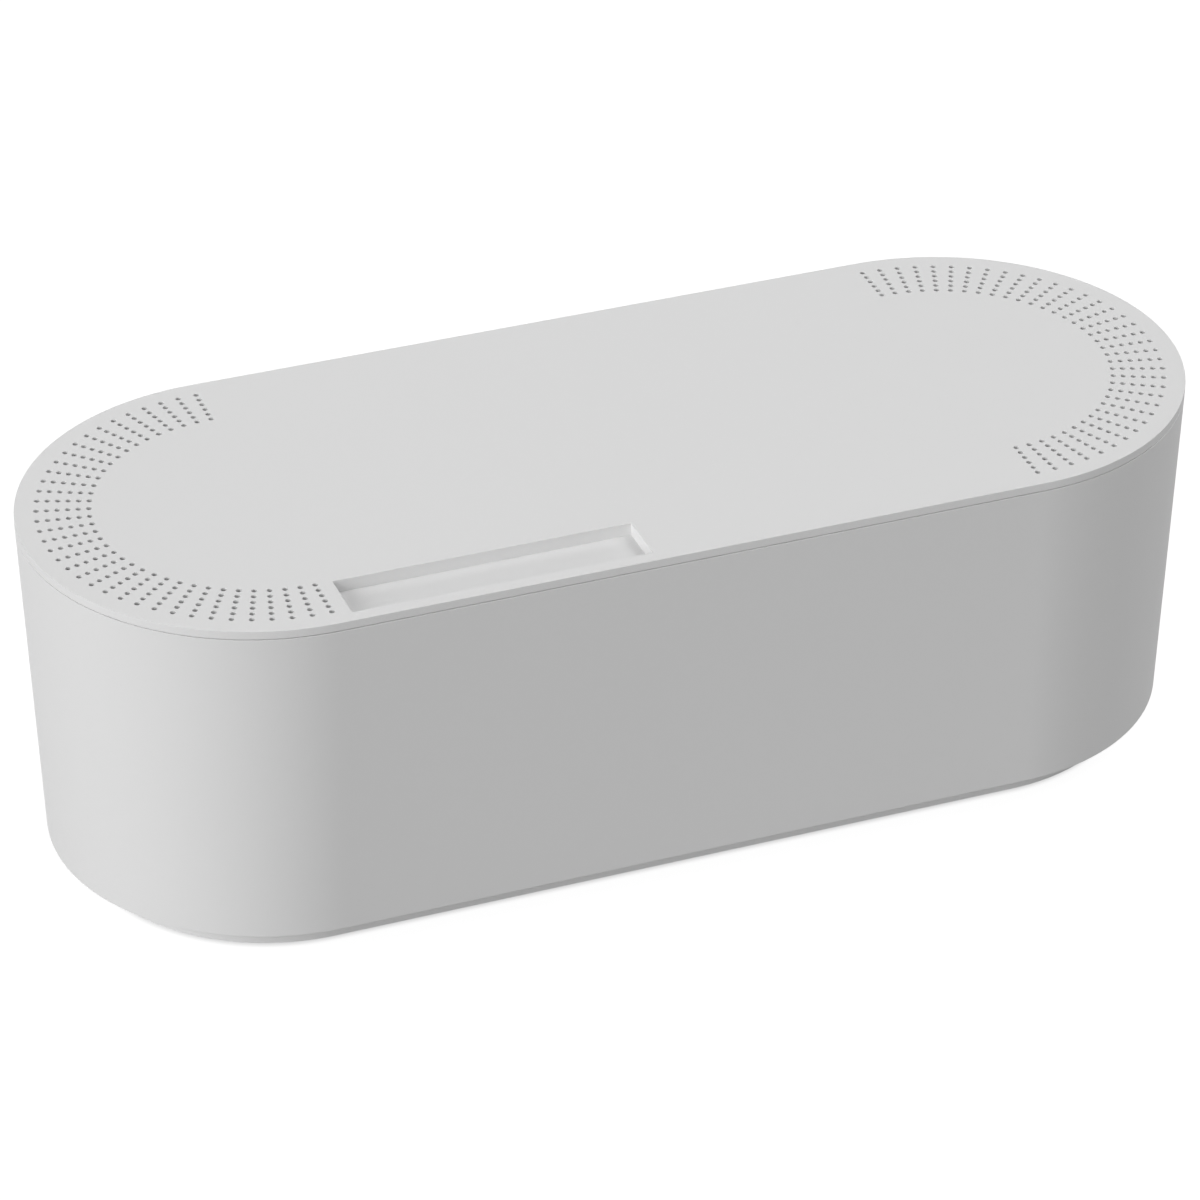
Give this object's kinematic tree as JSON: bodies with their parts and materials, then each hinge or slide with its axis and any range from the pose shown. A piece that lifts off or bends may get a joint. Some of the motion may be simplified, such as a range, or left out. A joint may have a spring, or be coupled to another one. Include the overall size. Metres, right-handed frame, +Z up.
{
  "type": "cable management box",
  "caption": "Long round-ended box with a lift-off vented lid, drafted walls and an inset plinth with cable gates at the ends and back.",
  "frame": {"origin": "on the table, under the middle of the box", "axes": "+X along the box's length, +Y to its back, +Z up"},
  "size_m": [0.415, 0.165, 0.135],
  "materials": {
    "shell": "fine satin moulded white plastic",
    "pad": "matte dark grey rubber"
  },
  "bodies": {
    "box": {"body_wall": "shell", "body_floor": "shell", "body_plinth": "shell", "foot_front_left": "pad", "foot_front_right": "pad", "foot_rear_left": "pad", "foot_rear_right": "pad"},
    "lid": {"lid": "shell"}
  },
  "joints": [
    {"name": "lid_lift", "type": "slide", "parent": "box", "child": "lid", "axis": [0, 0, 1], "range_m": [0, 0.14]}
  ]
}
